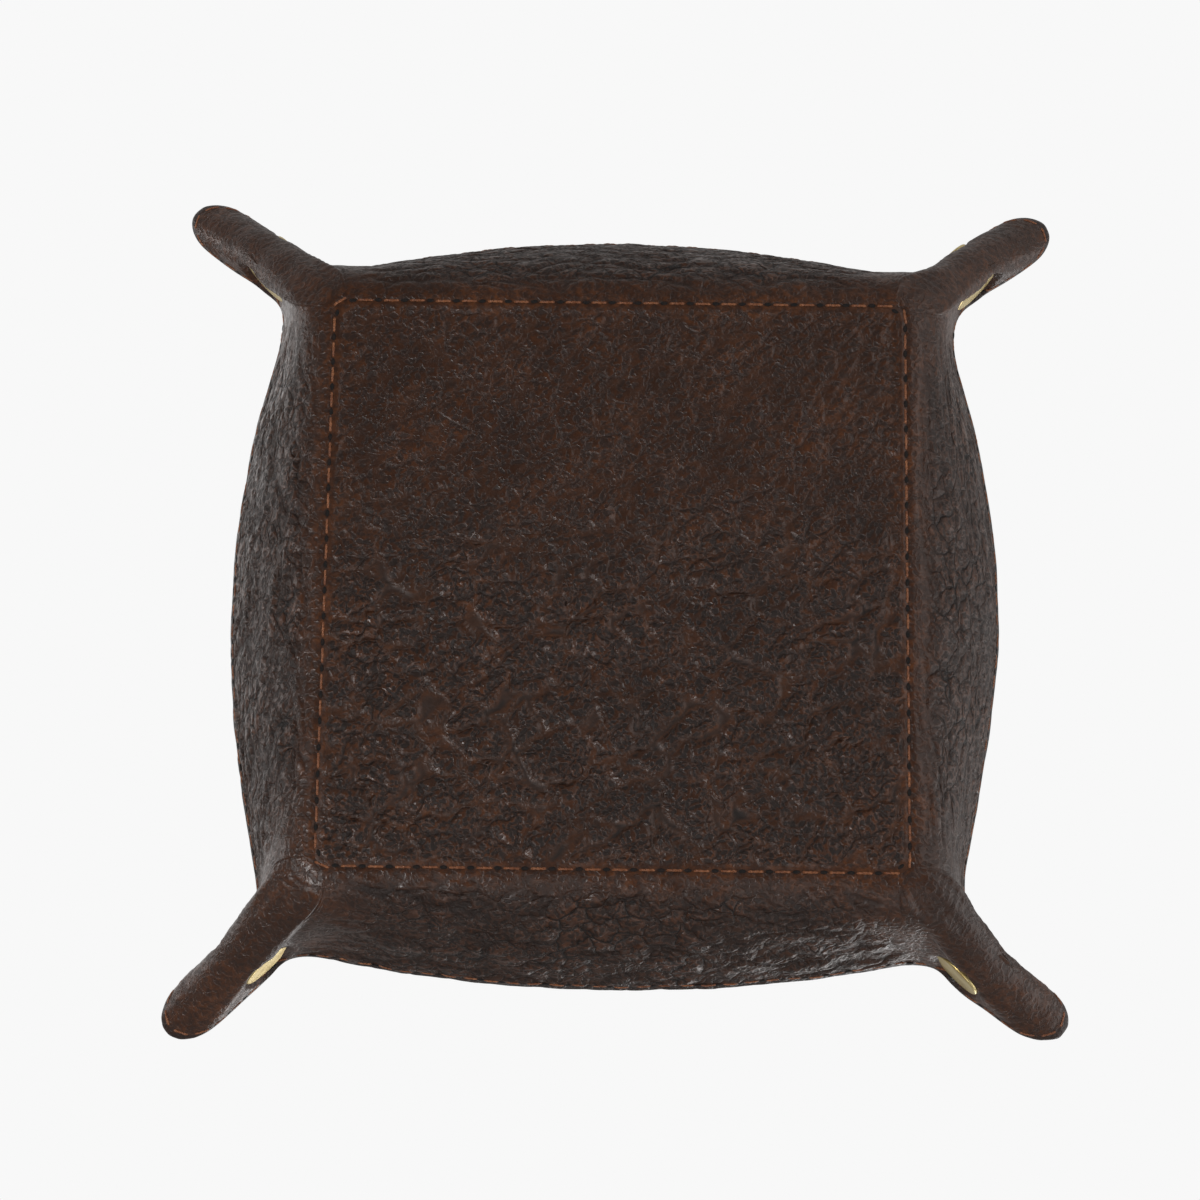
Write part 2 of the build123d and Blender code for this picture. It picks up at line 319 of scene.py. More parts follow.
def normals_of(points):
    """Outward directions of a closed ring of columns."""
    across = np.roll(points, -1, axis=0) - np.roll(points, 1, axis=0)
    rise = np.gradient(points, axis=1)
    normal = np.cross(across, rise)
    return normal / np.linalg.norm(normal, axis=-1, keepdims=True)


FINE_QUARTER = PER_QUARTER * COLUMN_STEPS
WALL_FINE = len(WALL_COLUMNS) * COLUMN_STEPS
EAR_FINE = (len(EAR_COLUMNS) - 1) * COLUMN_STEPS
EAR_SPAN = np.arange(2 * EAR_FINE + 1)


def ear_columns(quarter):
    """The fine columns of one ear, from crease to crease."""
    return (quarter * FINE_QUARTER + WALL_FINE + EAR_SPAN) % len(skin)


# %% [markdown]
# Each brass cap is pressed into its flap, so the leather is flat under it and rises in a soft
# lip around it.

# %% Seats for the caps
LIP = 1.0
for quarter in range(4):
    columns = ear_columns(quarter)
    spots = turned(skin[columns], -quarter)
    along = (spots[..., 0] + spots[..., 1]) / math.sqrt(2)
    aside = (spots[..., 0] - spots[..., 1]) / math.sqrt(2)
    away = np.hypot(along - CAP_CENTRE[0], spots[..., 2] - CAP_CENTRE[1])
    from_crease = EAR_FINE - np.abs(EAR_SPAN - EAR_FINE)[:, None]
    pressed = (1 - smooth_step(CAP_RADIUS, CAP_RADIUS + LIP, away)) * smooth_step(0, 7, from_crease)
    flat_side = np.where(aside > 0, 1, -1) * (EAR_HALF_WIDTH - 0.04)
    aside = aside + (flat_side - aside) * pressed
    spots[..., 0] = (along + aside) / math.sqrt(2)
    spots[..., 1] = (along - aside) / math.sqrt(2)
    skin[columns] = turned(spots, quarter)
skin_normal = normals_of(skin)
print("mean outward z at the seam:", round(float(skin_normal[:, 2, 2].mean()), 3))


# %% [markdown]
# ## Grain in the round
# Bison leather has soft pebbles with fine creases between them, and where the sheet was drawn
# over the former they stretch into pleats. Small grain can be a bump in the material, but folds
# this size catch the light and show in outline, so they are moved in the mesh itself, along
# the skin's own directions.

# %% Fields of grain
def noise_field(p, q, seed):
    """Soft noise from -1 to 1 at flat coordinates p and q."""
    flat = zip(p.ravel(), q.ravel())
    return np.array([noise.noise(Vector((a, b, seed))) for a, b in flat]).reshape(p.shape)


def cell_field(p, q, seed):
    """How far each point is from the crease between its two nearest cells, from 0."""
    out = np.empty(p.size)
    for index, (a, b) in enumerate(zip(p.ravel(), q.ravel())):
        near = noise.voronoi(Vector((a, b, seed)))[0]
        out[index] = near[1] - near[0]
    return out.reshape(p.shape)


def pebbles(p, q, seed, wobble=0.35):
    """Domes with creases between them: the height from 0 to 1, and how deep in a crease."""
    shift_p, shift_q = (
        wobble * noise_field(p * 0.8, q * 0.8, seed + wide)
        + 0.22 * noise_field(p * 2.3, q * 2.3, seed + narrow)
        for wide, narrow in ((7.3, 27.3), (19.1, 39.1))
    )
    edge = cell_field(p + shift_p, q + shift_q, seed)
    fade = smooth_step(-0.35, 0.25, noise_field(p * 0.7, q * 0.7, seed + 47.0))
    dome = 1 - np.exp(-edge / 0.16)
    crease = (1 - smooth_step(0.02, 0.14, edge)) * (0.25 + 0.75 * fade)
    return dome * (0.35 + 0.65 * fade), crease


def pleats(p, q, seed, wobble=0.5):
    """Long folds with narrow valleys, along p."""
    shift = wobble * noise_field(p * 0.6, q * 0.35, seed + 3.7)
    wave = noise_field(p, q + shift, seed)
    fine = noise_field(p * 1.9, (q + shift) * 2.1, seed + 11.0)
    value = wave + 0.45 * fine
    valley = 1 - smooth_step(0.0, 0.16, np.abs(value))
    return 1 - np.exp(-np.abs(value) / 0.16), valley


one = np.array([0.3])
print("one pebble:", [round(float(value[0]), 2) for value in pebbles(one, one, 1.0)])


# %% [markdown]
# Every wall was drawn its own way: round pebbles on the front, slanting folds on the right, and
# long pleats on the left and at the back. Each also has a small grain.

# %% Relief of the four walls
def wall_relief(side, along, rise):
    """Height in millimetres and crease depth for one wall, over its flat coordinates."""
    if side == "front":
        dome, crease = pebbles(along / 9.5, rise / 6.0, 4.0)
        small, line = pebbles(along / 4.6, rise / 3.4, 14.0)
        return 0.95 * dome + 0.25 * small - 0.6, np.maximum(crease, 0.35 * line)
    if side == "right":
        slant = rise + 0.12 * along
        fold, crease = pebbles(slant / 5.4, along / 10.5, 31.0, 0.8)
        small, line = pebbles(slant / 2.6, along / 5.5, 35.0)
        return 0.8 * fold + 0.22 * small - 0.55, np.maximum(0.9 * crease, 0.4 * line)
    if side == "left":
        slant = rise - 0.07 * along
        fold, crease = pleats(along / 19.0, slant / 5.0, 51.0)
        small, line = pebbles(slant / 3.0, along / 6.5, 55.0)
        return 0.5 * fold + 0.2 * small - 0.38, np.maximum(0.6 * crease, 0.4 * line)
    fold, crease = pleats(along / 12.0, rise / 6.0, 71.0, 0.9)
    small, line = pebbles(along / 4.8, rise / 3.2, 75.0)
    return 0.7 * fold + 0.2 * small - 0.5, np.maximum(0.7 * crease, 0.35 * line)


FOLD_STRENGTH = 1.3
lift, crease_depth, grain, fold = (np.zeros(skin.shape[:2]) for _ in range(4))
steps = np.linalg.norm(np.diff(skin, axis=1), axis=-1)
rise_length = np.concatenate([np.zeros((len(skin), 1)), np.cumsum(steps, axis=1)], axis=1)
to_rim = rise_length[:, -1:] - rise_length
for quarter, side in enumerate(SIDES):
    columns = np.arange(quarter * FINE_QUARTER, quarter * FINE_QUARTER + WALL_FINE + 1)
    u = np.linspace(-1, 1, len(columns))[:, None]
    rise = rise_length[columns]
    height, crease = wall_relief(side, u * (62 + 13 * rise / rise[:, -1:]), rise)
    mask = smooth_step(0.0, 0.14, 1 - np.abs(u)) * smooth_step(0.6, 6.0, rise)
    mask = mask * (0.25 + 0.75 * smooth_step(1.0, 5.0, to_rim[columns]))
    lift[columns] = height * mask
    crease_depth[columns] = crease * mask
    from_ends = smooth_step(0.0, 0.3, 1 - np.abs(u))
    fold[columns] = FOLD_STRENGTH * from_ends * smooth_step(2, 8, rise)
    grain[columns] = 0.5 + 0.4 * from_ends * smooth_step(3, 9, rise)
print("relief from", round(float(lift.min()), 2), "to", round(float(lift.max()), 2), "mm")

# %% [markdown]
# The ears are stretched smooth, with fine rings across the ridge where the leather was bent and
# gathered wrinkles low down. Along the seam the skin dives into the groove of the stitches, and
# at the rim the edge is rubbed round.

# %% Ears, groove and rim
RING_SPACING = 2.3
GROOVE_DEPTH, GROOVE_WIDTH = 0.26, 0.8
RUBBED, UNEVEN = 0.35, 0.35
for quarter in range(4):
    columns = ear_columns(quarter)
    rise = rise_length[columns]
    aside = np.linspace(-1, 1, len(columns))[:, None]
    v = 1 - np.abs(aside) * np.ones_like(rise)
    side_of = np.sign(aside) * (1 - v)
    bent = noise_field(rise / 7, side_of * 2, 88.0 + quarter)
    phase = 2 * math.pi * rise / RING_SPACING + 4 * bent
    strength = 0.5 + noise_field(rise / 5, side_of * 3, 90.0 + quarter)
    patches = noise_field(rise / 7.0, side_of * 2.5, 95.0 + quarter)
    mask = smooth_step(2.0, 8.0, rise) * smooth_step(1.0, 4.0, to_rim[columns])
    mask = mask * smooth_step(0, 0.15, v) * (0.3 + 0.7 * smooth_step(0.25, 0.6, v))
    lift[columns] += (0.12 * np.sin(phase) * strength + 0.3 * patches) * mask
    gathered = noise_field(side_of * 6.0, rise / 14.0, 97.0 + quarter)
    lift[columns] += 0.5 * gathered * mask * (1 - smooth_step(14.0, 30.0, rise))
    # the troughs of the rings count as creases, which the finish darkens as painted shade
    crease_depth[columns] += 0.3 * np.clip(-np.sin(phase), 0, 1) ** 2 * strength * mask
    grain[columns] = np.maximum(grain[columns] * (v <= 0), 0.5)
lift -= GROOVE_DEPTH * np.exp(-(rise_length / GROOVE_WIDTH) ** 2)
lift -= RUBBED * (1 - smooth_step(0.0, 0.9, to_rim)) ** 2
edge_wave = noise_field(np.arange(len(skin)) / 9.0, np.zeros(len(skin)), 60.0)[:, None]
rise_direction = np.gradient(skin, axis=1)
rise_direction /= np.linalg.norm(rise_direction, axis=-1, keepdims=True)
uneven = UNEVEN * edge_wave * (1 - smooth_step(0.0, 5.0, to_rim))
skin = skin + rise_direction * uneven[..., None]
outer_skin = skin + skin_normal * lift[..., None]
inner_skin = skin - skin_normal * LEATHER
print("the rim wanders by", round(float(np.abs(uneven).max()), 2), "mm")


# %% [markdown]
# ## A panel of leather
# The leather bends only between two bodies at a time, so the skin is cut at its folds into
# panels that share their edges. Each panel starts as a plain grid from the Add menu. Its points
# go to their places on the skin, and a Solidify modifier gives it its thickness and its edge.

# %% Panel helper
def thick_panel(name, outer, inner, fields):
    """A closed sheet from a grid of outer and inner points in millimetres."""
    columns, rows = outer.shape[:2]
    bpy.ops.mesh.primitive_grid_add(
        x_subdivisions=columns - 1, y_subdivisions=rows - 1, size=1, location=(0, 0, 0)
    )
    panel = bpy.context.object
    mesh = panel.data
    panel.name = mesh.name = name
    mesh.vertices.foreach_set("co", (outer.transpose(1, 0, 2) * MM).ravel())
    mesh.update()
    solidify = panel.modifiers.new("thickness", "SOLIDIFY")
    solidify.thickness = MM
    solidify.offset = -1
    solidify.material_offset_rim = 1
    only(panel)
    bpy.ops.object.modifier_apply(modifier="thickness")
    both = np.concatenate([grid.transpose(1, 0, 2).reshape(-1, 3) for grid in (outer, inner)])
    assert len(mesh.vertices) == len(both), (len(mesh.vertices), len(both))
    mesh.vertices.foreach_set("co", (both * MM).ravel())
    for field, values in fields.items():
        layer = mesh.attributes.new(field, "FLOAT", "POINT")
        flat = values.T.ravel()
        layer.data.foreach_set("value", np.concatenate([flat, flat]))
    mesh.update()
    bpy.ops.object.shade_smooth_by_angle(angle=math.radians(50))
    return panel


def take(array, columns, step=1):
    """The chosen columns of a ring, closed round its end, thinned by a step."""
    return array[np.asarray(columns)[::step] % len(array)][:, ::step]


PANELS = {}
for quarter, side in enumerate(SIDES):
    start = quarter * FINE_QUARTER
    corner = corner_name(quarter)
    after = SIDES[(quarter + 1) % 4]
    PANELS[f"{side}_wall"] = range(start, start + WALL_FINE + 1)
    middle = start + WALL_FINE + EAR_FINE
    PANELS[f"{corner}_flap_by_{side}"] = range(start + WALL_FINE, middle + 1)
    PANELS[f"{corner}_flap_by_{after}"] = range(middle, start + FINE_QUARTER + 1)
print("panels:", list(PANELS))

# %% [markdown]
# In the open tray, a wall and the flap beside it part a little at their crease. So a tongue of
# the flap's leather reaches into the wall there, between its leather and its lining, and covers
# most of the gap. A leather worker pares the edge of a wall thin with a knife to make room for
# it. Here the inner points of the wall's edge move outward.

# %% Room for the tongues
TONGUE = 5
PARED = 0.8
tongue_rows = slice(3, len(skin[0]) - 3)
wall_inner = inner_skin.copy()
for quarter in range(4):
    start = quarter * FINE_QUARTER
    for edge, toward in ((start, 1), (start + WALL_FINE, -1)):
        strip = (edge + toward * np.arange(TONGUE + 2)) % len(skin)
        pared = skin[strip][:, tongue_rows] - skin_normal[strip][:, tongue_rows] * PARED
        wall_inner[strip[:, None], np.arange(len(skin[0]))[tongue_rows]] = pared
print("tongues are", TONGUE, "columns wide and the pared leather", PARED, "mm thick")

# %% [markdown]
# Each panel carries fields on its points, such as how deep in a crease a point lies. The finish
# reads them later under the same names.

# %% The outer leather of walls and ears
leather_pieces = {}
FIELDS = {
    # the crease depth darkens the leather's colour later, as painted shade
    "crease": crease_depth,
    "grain": grain,
    "fold": fold,
    "rim": 1 - smooth_step(1.3, 2.4, to_rim),
    "seam": 1 - smooth_step(0.5, 7.0, rise_length),
}
for panel_name, columns in PANELS.items():
    leather_pieces[panel_name] = thick_panel(
        f"{panel_name}_skin",
        take(outer_skin, columns),
        take(wall_inner if "wall" in panel_name else inner_skin, columns),
        {field: take(values, columns) for field, values in FIELDS.items()},
    )
print(len(leather_pieces), "panels; the front wall's points:",
      len(leather_pieces["front_wall"].data.vertices))

# %% Tongues under the creases
tongues = {}
for panel_name, columns in PANELS.items():
    if "flap" not in panel_name:
        continue
    before = panel_name.endswith(SIDES[columns[0] // FINE_QUARTER])
    edge = columns[0] - TONGUE if before else columns[-1]
    strip = np.arange(edge, edge + TONGUE + 1) % len(skin)
    over, inward = skin[strip][:, tongue_rows], skin_normal[strip][:, tongue_rows]
    top = over - inward * (PARED + 0.1)
    under = over - inward * (LEATHER - 0.06)
    blank = np.zeros(top.shape[:2])
    tongues[panel_name] = thick_panel(
        f"{panel_name}_tongue", top, under, {"crease": blank, "rim": blank, "seam": blank}
    )
print("tongues:", len(tongues))

# %% [markdown]
# The lining is glued to the leather's inside. It is smooth, so it needs only every second
# column and row of the same skin.

# %% The lining of walls and ears
lining_pieces = {}
SLACK = 0.02
lining_out = skin - skin_normal * (LEATHER + SLACK)
lining_in = skin - skin_normal * (LEATHER + LINING)
for panel_name, columns in PANELS.items():
    lining_pieces[panel_name] = thick_panel(
        f"{panel_name}_inside",
        take(lining_out, columns, 2),
        take(lining_in, columns, 2),
        {field: take(FIELDS[field], columns, 2) for field in ("rim", "seam")},
    )
print("lining panels:", len(lining_pieces))


# %% [markdown]
# ## The base
# The base is the flat middle of the same sheet, inside the seam. Its grid is squeezed so that
# its outermost ring is a square with round corners. Pebbles cover the half nearest the front,
# and behind them the grain is drawn into slanting wrinkles.

# %% Base panel
def rounded_square(count, half, roundness):
    """Grid points from -1 to 1 on a square whose outer rings have round corners."""
    axis = np.linspace(-1, 1, count)
    gx, gy = np.meshgrid(axis, axis, indexing="ij")
    ring = np.maximum(np.abs(gx), np.abs(gy))
    minor = np.minimum(np.abs(gx), np.abs(gy))
    size = ring * half
    bow = roundness * ring ** 6
    straight = size - bow
    length = straight + bow * QUARTER / 2
    s = minor / np.maximum(ring, 1e-9) * length
    turn = np.clip((s - straight) / np.maximum(bow, 1e-9), 0, QUARTER / 2)
    long_side = np.where(s < straight, size, straight + bow * np.cos(turn))
    short_side = np.where(s < straight, s, straight + bow * np.sin(turn))
    wide = np.abs(gx) >= np.abs(gy)
    x = np.where(wide, long_side, short_side) * np.sign(gx)
    y = np.where(wide, short_side, long_side) * np.sign(gy)
    return x, y, half - size


BASE_POINTS = 201
bx, by, inset = rounded_square(BASE_POINTS, SEAM_HALF, SEAM_ROUND)
dome, crease = pebbles(bx / 11.0, by / 9.5, 2.0)
small, line = pebbles(bx / 5.2, by / 4.6, 22.0)
slant, cross = bx * 0.62 + by * 0.78, bx * 0.78 - by * 0.62
drawn, drawn_line = pleats(slant / 15.0, cross / 5.0, 41.0, 0.9)
front_share = 1 - smooth_step(-12, 34, by + 9 * noise_field(bx / 25, by / 25, 5.0))
back_share = 1 - front_share
base_height = front_share * (1.15 * dome + 0.3 * small) + back_share * 0.2 * drawn
base_vein = front_share * crease + 0.35 * back_share * drawn_line
# the base's crease field darkens the colour later, as painted shade
base_crease = front_share * (0.4 * line + 0.8 * smooth_step(0.7, 0.97, crease))
base_crease += back_share * 0.3 * drawn_line
base_mask = smooth_step(0.6, 3.0, inset)
base_grain = (0.7 + 0.3 * front_share) * (1 - 0.95 * base_vein) * smooth_step(0.5, 2, inset)
base_z = -(base_height - 0.55) * base_mask + GROOVE_DEPTH * np.exp(-(inset / GROOVE_WIDTH) ** 2)
base_outer = np.stack([-bx, by, base_z], axis=-1)
base_inner = np.stack([-bx, by, np.full_like(bx, LEATHER)], axis=-1)
base_skin = thick_panel("base_skin", base_outer, base_inner, {
    "crease": base_crease * base_mask,
    "vein": base_vein * base_mask,
    "grain": base_grain,
    "fold": smooth_step(0.45, 0.85, base_grain),
    "rim": bx * 0,
    "seam": 1 - smooth_step(0.5, 7.0, inset),
})
pad = smooth_step(0.9, 2.6, inset[::2, ::2])
lx, ly = bx[::2, ::2], by[::2, ::2]
LINING_LIFT = 1.4
base_inside = thick_panel(
    "base_inside",
    np.stack([-lx, ly, LEATHER + SLACK + (LINING_LIFT - 0.1) * pad], axis=-1),
    np.stack([-lx, ly, LEATHER + LINING + LINING_LIFT * pad], axis=-1),
    {"rim": lx * 0, "seam": 1 - smooth_step(0.5, 7.0, inset[::2, ::2])},
)
print("base:", len(base_skin.data.vertices), "points, lowest", round(float(base_z.min()), 2), "mm")


# %% [markdown]
# ## Stitches
# Each stitch is a short length of two-ply waxed thread that comes up from one hole and goes
# down at the next. One is modelled from a cylinder: rings are cut along it, it is flattened
# into two plies, twisted and bent down at its ends. The rest are copies, laid along the seams.
# Between two stitches a dark squashed ball sits in the awl's hole: painted shade of the hole.

# %% One stitch and one painted hole shade
THREAD = 0.34
STITCH_LENGTH = 4.4
STITCH_RINGS = 10
HOLE_SHADE_HALF_SIZES = [0.9, 0.46, 0.14]


def one_stitch(length):
    """Points and faces of one stitch along x, with its ends bent down."""
    bpy.ops.mesh.primitive_cylinder_add(vertices=6, radius=THREAD * MM, depth=length * MM)
    stitch = bpy.context.object
    work = bmesh.new()
    work.from_mesh(stitch.data)
    lengthwise = [e for e in work.edges if abs(e.verts[0].co.z - e.verts[1].co.z) > MM]
    bmesh.ops.subdivide_edges(work, edges=lengthwise, cuts=STITCH_RINGS - 2, use_grid_fill=True)
    half = length * MM / 2
    for vertex in work.verts:
        x, y, z = vertex.co
        share = z / half
        ply = 0.86 + 0.14 * math.cos(2 * math.atan2(y, x))
        twist = share * 5.6
        c, s = math.cos(twist), math.sin(twist)
        px, py = ply * (c * x - s * y), ply * (s * x + c * y)
        drop = -0.9 * MM * abs(share) ** 6
        vertex.co = Vector((z * (1 - 0.05 * abs(share)), px, py + drop))
    bmesh.ops.recalc_face_normals(work, faces=work.faces)
    points = np.array([vertex.co[:] for vertex in work.verts])
    faces = [[vertex.index for vertex in face.verts] for face in work.faces]
    work.free()
    bpy.data.objects.remove(stitch, do_unlink=True)
    return points, faces


def one_hole_shade():
    """Points and faces of the painted shade of the hole between two stitches, a dark squashed ball
    along x.
    """
    bpy.ops.mesh.primitive_uv_sphere_add(segments=8, ring_count=5, radius=MM)
    ball = bpy.context.object
    points = np.array([vertex.co[:] for vertex in ball.data.vertices]) * HOLE_SHADE_HALF_SIZES
    faces = [list(face.vertices) for face in ball.data.polygons]
    bpy.data.objects.remove(ball, do_unlink=True)
    return points, faces


stitch_points, stitch_faces = one_stitch(STITCH_LENGTH)
hole_shade_points, hole_shade_faces = one_hole_shade()
print("one stitch:", len(stitch_points), "points,", len(stitch_faces), "faces")


# %% [markdown]
# By hand, no stitch is quite in line. Each copy is turned and shifted by a hair before it is
# laid down, the same way every time the lesson runs.

# %% Rows of stitches
TILT, WANDER, HOLE_SHADE_LIFT = 0.035, 0.12, 0.06


def upright(point, along, outward):
    """Directions along, across and out of a seam, each at right angles to the others."""
    along = along / np.linalg.norm(along)
    outward = outward - along * (outward @ along)
    outward = outward / np.linalg.norm(outward)
    return along, np.cross(outward, along), outward


def sew(name, places, pitch):
    """One object of stitches, each at its (point, along, outward), with painted hole shades between
    them.
    """
    shapes = []
    for index, stitch_place in enumerate(places):
        along, side, outward = upright(*stitch_place)
        tilted = along + side * TILT * noise.noise(Vector((index * 1.7, len(places), 3.0)))
        tilted = tilted / np.linalg.norm(tilted)
        axes = np.stack([tilted, np.cross(outward, tilted), outward], axis=1)
        wander = side * WANDER * noise.noise(Vector((index * 0.9, len(places), 8.0)))
        shapes.append((stitch_points, stitch_faces, axes, stitch_place[0] + wander, 0))
    # a dark ball between two close stitches stands for the shade in the awl hole: painted shade
    for one, two in zip(places, places[1:] + places[:1]):
        step = two[0] - one[0]
        if np.linalg.norm(step) < 1.4 * pitch:
            along, side, outward = upright(one[0], step, one[2] + two[2])
            axes = np.stack([along, side, outward], axis=1)
            middle = (one[0] + two[0]) / 2 + outward * HOLE_SHADE_LIFT
            shapes.append((hole_shade_points, hole_shade_faces, axes, middle, 1))
    every, faces, kinds, count = [], [], [], 0
    for shape, shape_faces, axes, centre, kind in shapes:
        faces.extend([[corner + count for corner in face] for face in shape_faces])
        kinds.extend([kind] * len(shape_faces))
        every.append(shape @ axes.T + centre * MM)
        count += len(shape)
    mesh = bpy.data.meshes.new(name)
    mesh.from_pydata(np.concatenate(every).tolist(), [], faces)
    mesh.polygons.foreach_set("material_index", kinds)
    mesh.update()
    row = bpy.data.objects.new(name, mesh)
    bpy.context.collection.objects.link(row)
    only(row)
    bpy.ops.object.shade_smooth_by_angle(angle=math.radians(60))
    return row


def spaced_along(line, pitch):
    """Evenly spaced points of a line, and the line's direction at each."""
    length = np.concatenate([[0], np.cumsum(np.linalg.norm(np.diff(line, axis=0), axis=1))])
    count = max(1, round(length[-1] / pitch))
    at = (np.arange(count) + 0.5) * length[-1] / count
    here, ahead, behind = (
        np.stack([np.interp(at + shift, length, line[:, i]) for i in range(3)], axis=1)
        for shift in (0, 1.2, -1.2)
    )
    return here, ahead - behind


# %% [markdown]
# The base seam runs in a square with round corners through the folded edge of the base. It is
# seen on both faces, so its stitches are laid twice.

# %% Base seam
BASE_PITCH = 6.0
ring = []
for quarter in range(4):
    seam_end = SEAM_HALF - SEAM_ROUND
    straight = np.linspace(-seam_end, seam_end, 60)
    side_line = np.stack([np.full(60, SEAM_HALF), straight, np.zeros(60)], axis=1)
    turn = np.linspace(0, QUARTER, 16)[1:-1]
    bend_line = np.stack([
        seam_end + SEAM_ROUND * np.cos(turn), seam_end + SEAM_ROUND * np.sin(turn), 0 * turn
    ], axis=1)
    ring.extend([turned(side_line, quarter), turned(bend_line, quarter)])
ring.append(ring[0][:1])
seam_line = np.concatenate(ring)
spots, ways = spaced_along(seam_line, BASE_PITCH)
base_seam, base_seam_inside = (
    sew(name, [(spot + [0, 0, height], way, np.array([0, 0, facing]))
               for spot, way in zip(spots, ways)], BASE_PITCH)
    for name, height, facing in (
        ("base_seam", 0.16, -1.0),
        ("base_seam_inside", LEATHER + LINING - 0.1, 1.0),
    )
)
print("stitches round the base:", len(spots))

# %% [markdown]
# The rim seam holds leather and lining together close to their edge. It follows each panel's
# own two faces, a little sunk into them.

# %% Rim seam, on both faces of each panel
RIM_INSET, RIM_PITCH, SUNK = 2.3, 4.9, -0.1
rim_seams = {}
for panel_name, columns in PANELS.items():
    strip = np.asarray(columns) % len(skin)
    places = []
    for surface, way_out in ((outer_skin, 1), (lining_in, -1)):
        line, outward = (
            np.array([
                [np.interp(-RIM_INSET, -gaps, column[:, i]) for i in range(3)]
                for column, gaps in zip(values[strip], to_rim[strip])
            ])
            for values in (surface, skin_normal)
        )
        outward = outward * way_out
        spots, ways = spaced_along(line, RIM_PITCH)
        for spot, way in zip(spots, ways):
            nearest = int(np.argmin(np.linalg.norm(line - spot, axis=1)))
            places.append((spot + outward[nearest] * SUNK, way, outward[nearest]))
    rim_seams[panel_name] = sew(f"{panel_name}_rim_seam", places, RIM_PITCH)
print("rim seams:", len(rim_seams))

# %% [markdown]
# ## Finishes
# A finish is a small tree of nodes: textures placed in Object coordinates feed the colour, the
# roughness and the bump of one Principled shader. A few short functions below add a node, mix
# two colours or stretch a range, so that each finish reads as a list of what it is made of.

# %% Material helpers
def node(tree, kind, inputs=None, **settings):
    """Adds a node, sets its properties and its inputs: a value, or an output to link."""
    made = tree.nodes.new(kind)
    for key, value in settings.items():
        setattr(made, key, value)
    for key, value in (inputs or {}).items():
        if isinstance(value, bpy.types.NodeSocket):
            tree.links.new(value, made.inputs[key])
        else:
            made.inputs[key].default_value = value
    return made


def material(name):
    """A material, its tree and its Object coordinates."""
    made = bpy.data.materials.new(name)
    made.use_nodes = True
    tree = made.node_tree
    tree.nodes.clear()
    return made, tree, node(tree, "ShaderNodeTexCoord").outputs["Object"]


def dress(tree, colour, roughness, height=None, strength=0.5, distance=0.0002, **constants):
    """Gives a tree its Principled shader: colour, roughness, bump and constant values."""
    inputs = {"Base Color": colour, "Roughness": roughness}
    if height is not None:
        bump = {"Height": height, "Strength": strength, "Distance": distance}
        inputs["Normal"] = node(tree, "ShaderNodeBump", bump).outputs[0]
    for key, value in constants.items():
        inputs[key.replace("_", " ")] = value
    shader = node(tree, "ShaderNodeBsdfPrincipled", inputs)
    node(tree, "ShaderNodeOutputMaterial", {0: shader.outputs[0]})


def tone(red, green, blue):
    """A colour as a paint chart names it, from 0 to 255, in the values that a shader takes."""
    out = []
    for value in (red, green, blue):
        share = value / 255
        out.append(share / 12.92 if share <= 0.04045 else ((share + 0.055) / 1.055) ** 2.4)
    return (*out, 1.0)


def mixed(tree, factor, first, second):
    """A colour between two others."""
    inputs = {0: factor, 6: first, 7: second}
    return node(tree, "ShaderNodeMix", inputs, data_type="RGBA").outputs[2]


def maths(tree, operation, first, second):
    """One sum on two values."""
    return node(tree, "ShaderNodeMath", {0: first, 1: second}, operation=operation).outputs[0]


def combined(tree, operation, *parts):
    """Values, each times its share, put together one after another by an operation."""
    out = None
    for value, share in parts:
        value = maths(tree, "MULTIPLY", value, share)
        out = value if out is None else maths(tree, operation, out, value)
    return out


def ranged(tree, value, low, high, to_low=0.0, to_high=1.0):
    """A value mapped from one range to another, held at the ends."""
    inputs = {"Value": value, "From Min": low, "From Max": high}
    inputs.update({"To Min": to_low, "To Max": to_high})
    return node(tree, "ShaderNodeMapRange", inputs, clamp=True).outputs["Result"]


def clouds(tree, place, scale, detail, roughness=0.5):
    """The value of a soft noise."""
    inputs = {"Vector": place, "Scale": scale, "Detail": detail, "Roughness": roughness}
    return node(tree, "ShaderNodeTexNoise", inputs).outputs["Fac"]


def cell_edges(tree, place, scale):
    """How far a place is from the edge of its cell."""
    inputs = {"Vector": place, "Scale": scale}
    texture = node(tree, "ShaderNodeTexVoronoi", inputs, feature="DISTANCE_TO_EDGE")
    return texture.outputs["Distance"]


def pushed(tree, place, scale, detail, reach):
    """Places pushed about by noise, up to half of reach each way."""
    inputs = {"Vector": place, "Scale": scale, "Detail": detail}
    push = node(tree, "ShaderNodeTexNoise", inputs).outputs["Color"]
    for sum_name, other in (("SUBTRACT", (0.5,) * 3), ("MULTIPLY", (reach,) * 3), ("ADD", place)):
        push = node(tree, "ShaderNodeVectorMath", {0: push, 1: other}, operation=sum_name)
        push = push.outputs[0]
    return push


print("a chocolate brown:", [round(v, 3) for v in tone(60, 42, 35)])

# %% [markdown]
# The leather is dark chocolate, and rust brown where the seam and the creases drew the dye thin.
# Its fine grain is a bump of small cells in a space that noise has bent, so that they run into
# worms. On the walls a wider net of cells draws the hide's own folds, flattened as the leather
# was stretched. The creases that the mesh carries reach the material as attributes. The pits, the
# fine web, those creases and the fold lines are darkened in the colour too: painted shade.

# %% Grained leather
GRAIN_CELLS, GRAIN_WEB, FOLD_CELLS = 860.0, 330.0, 145.0
FLATTENED = (1.0, 1.0, 1.8)


